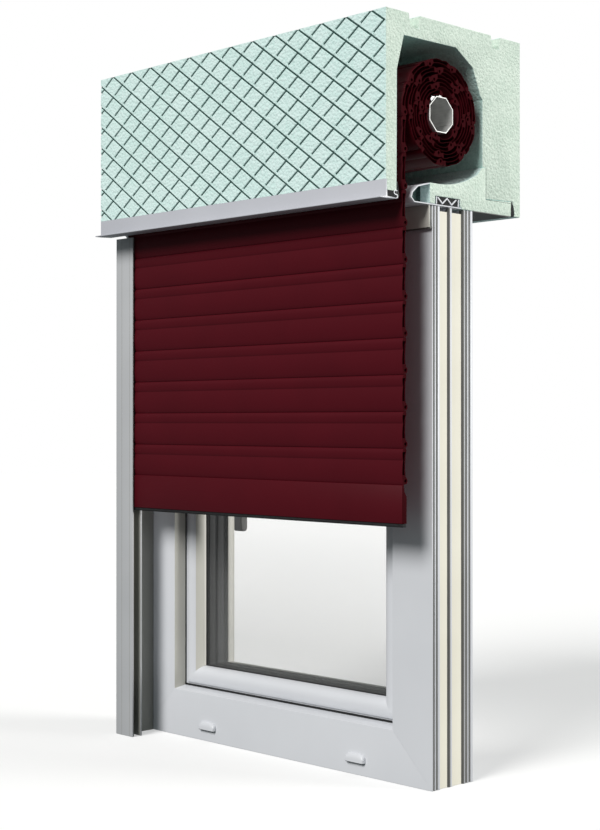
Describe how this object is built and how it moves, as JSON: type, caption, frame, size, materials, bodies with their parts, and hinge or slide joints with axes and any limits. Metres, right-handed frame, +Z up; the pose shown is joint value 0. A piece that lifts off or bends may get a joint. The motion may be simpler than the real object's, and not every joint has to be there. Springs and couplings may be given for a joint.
{
  "type": "motorised roller shutter box with window",
  "caption": "Tubular-motor roller shutter in a foam top box, with slat curtain, guide rail and an inward-opening glazed window beneath it.",
  "frame": {"origin": "middle of the overall box's footprint, on the underside of the window frame", "axes": "+Z up, +Y from the weather side towards the room, +X along the window towards the cut-open end of the shutter box"},
  "size_m": [0.566, 0.2706, 0.9575],
  "materials": {
    "foam": "moulded bead foam, matt, with quilted grooves on the front",
    "white_plastic": "smooth window PVC, satin",
    "rail_grey": "smooth light grey PVC, satin",
    "grey_strip": "smooth silver-grey PVC, satin",
    "black_seal": "soft black sealing rubber, matt",
    "brush_black": "short black pile brush",
    "slat_paint": "roll-formed aluminium, burgundy stove enamel, semi-gloss",
    "tube_steel": "zinc-plated steel, satin",
    "motor_plastic": "black moulded nylon, satin",
    "screw_plastic": "coloured setting screw",
    "glass": "clear float glass",
    "spacer": "dark grey spacer bar, satin",
    "handle_grey": "dark grey powder coat, satin"
  },
  "bodies": {
    "frame": {"foam_shell": "foam", "inspection_block": "foam", "block_seal": "black_seal", "end_plate": "white_plastic", "plaster_strip": "grey_strip", "brush_seal": "brush_black", "nose_profile": "white_plastic", "adapter_profile": "white_plastic", "frame_flange": "white_plastic", "flange_seal": "black_seal", "motor_bracket": "tube_steel", "motor_head": "motor_plastic", "motor_tube": "tube_steel", "guide_rail": "rail_grey", "rail_seal": "black_seal", "frame_sill": "white_plastic", "frame_head": "white_plastic", "frame_jamb_left": "white_plastic", "frame_jamb_right": "white_plastic", "frame_gasket": "black_seal", "drain_cap_left": "white_plastic", "drain_cap_right": "white_plastic", "hinge_lower": "white_plastic", "hinge_upper": "white_plastic"},
    "tube": {"winding_tube": "tube_steel", "limit_crown": "motor_plastic", "drive_wheel": "motor_plastic", "curtain_hanger": "tube_steel", "winding_1": "slat_paint", "winding_2": "slat_paint", "winding_3": "slat_paint", "winding_4": "slat_paint"},
    "curtain": {"slat_01": "slat_paint", "slat_02": "slat_paint", "slat_03": "slat_paint", "slat_04": "slat_paint", "slat_05": "slat_paint", "slat_06": "slat_paint", "slat_07": "slat_paint", "slat_08": "slat_paint", "slat_09": "slat_paint", "slat_10": "slat_paint", "end_slat": "slat_paint", "end_slat_seal": "black_seal"},
    "sash": {"sash_bottom": "white_plastic", "sash_top": "white_plastic", "sash_left": "white_plastic", "sash_right": "white_plastic", "glazing_gasket": "black_seal", "glass_outer": "glass", "glass_middle": "glass", "glass_inner": "glass", "spacer_outer": "spacer", "spacer_inner": "spacer", "glazing_bead": "white_plastic", "handle_rosette": "handle_grey"},
    "handle": {"handle_grip": "handle_grey"},
    "rod": {"locking_rod": "tube_steel"},
    "up_screw": {"limit_screw_up": "screw_plastic"},
    "down_screw": {"limit_screw_down": "screw_plastic"}
  },
  "joints": [
    {"name": "tube_turn", "type": "hinge", "parent": "frame", "child": "tube", "pos_m": [0, -0.02225, 0.8415], "axis": [-1, 0, 0], "range_deg": [-38, 38]},
    {"name": "curtain_lift", "type": "slide", "parent": "frame", "child": "curtain", "axis": [0, 0, 1], "range_m": [-0.0446, 0.0446]},
    {"name": "sash_turn", "type": "hinge", "parent": "frame", "child": "sash", "pos_m": [0.245, 0.05875, 0.141], "axis": [0, 0, -1], "range_deg": [0, 90]},
    {"name": "handle_turn", "type": "hinge", "parent": "sash", "child": "handle", "pos_m": [-0.209, 0.06475, 0.405], "axis": [0, -1, 0], "range_deg": [0, 90]},
    {"name": "rod_slide", "type": "slide", "parent": "sash", "child": "rod", "axis": [0, 0, 1], "range_m": [0, 0.0181]},
    {"name": "up_screw_turn", "type": "hinge", "parent": "frame", "child": "up_screw", "pos_m": [-0.2667, -0.02825, 0.8215], "axis": [0, 0, -1], "continuous": true},
    {"name": "down_screw_turn", "type": "hinge", "parent": "frame", "child": "down_screw", "pos_m": [-0.2667, -0.01625, 0.8215], "axis": [0, 0, -1], "continuous": true}
  ],
  "couplings": [
    {"joint": "curtain_lift", "follows": "tube_turn", "m_per_rad": 0.0667},
    {"joint": "rod_slide", "follows": "handle_turn", "m_per_rad": 0.01146}
  ]
}
